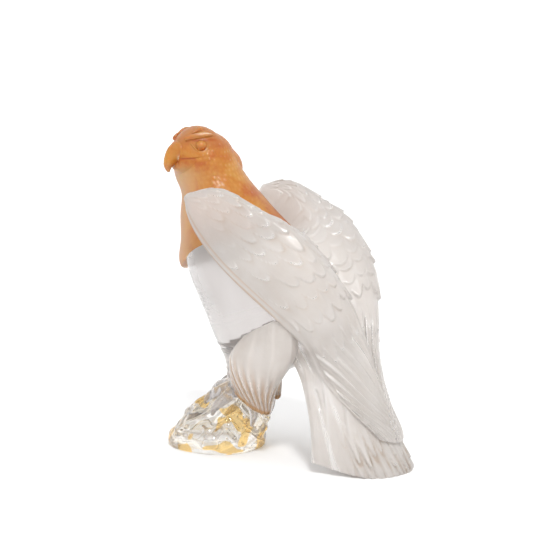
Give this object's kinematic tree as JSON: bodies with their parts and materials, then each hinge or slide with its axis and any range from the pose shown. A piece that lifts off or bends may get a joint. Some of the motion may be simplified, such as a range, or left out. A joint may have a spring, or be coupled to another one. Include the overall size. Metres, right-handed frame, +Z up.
{
  "type": "crystal eagle sculpture",
  "caption": "Perched eagle in cast crystal: amber head and bib turned aside, clear breast, frosted folded wings and tail fan, standing on a clear rock.",
  "frame": {"origin": "centre of the rock's flat underside, on the ground", "axes": "+Z up, the bird's breast faces -Y, its left side is +X"},
  "size_m": [0.1718, 0.2945, 0.3597],
  "materials": {
    "clear_rock_crystal": "clear polished",
    "frosted_crystal": "satin frosted, clear polished on the breast",
    "amber_crystal": "satin"
  },
  "bodies": {
    "root": {"crystal_rock": "clear_rock_crystal", "crystal_body": "frosted_crystal", "amber_head_and_mantle": "amber_crystal"}
  },
  "joints": []
}
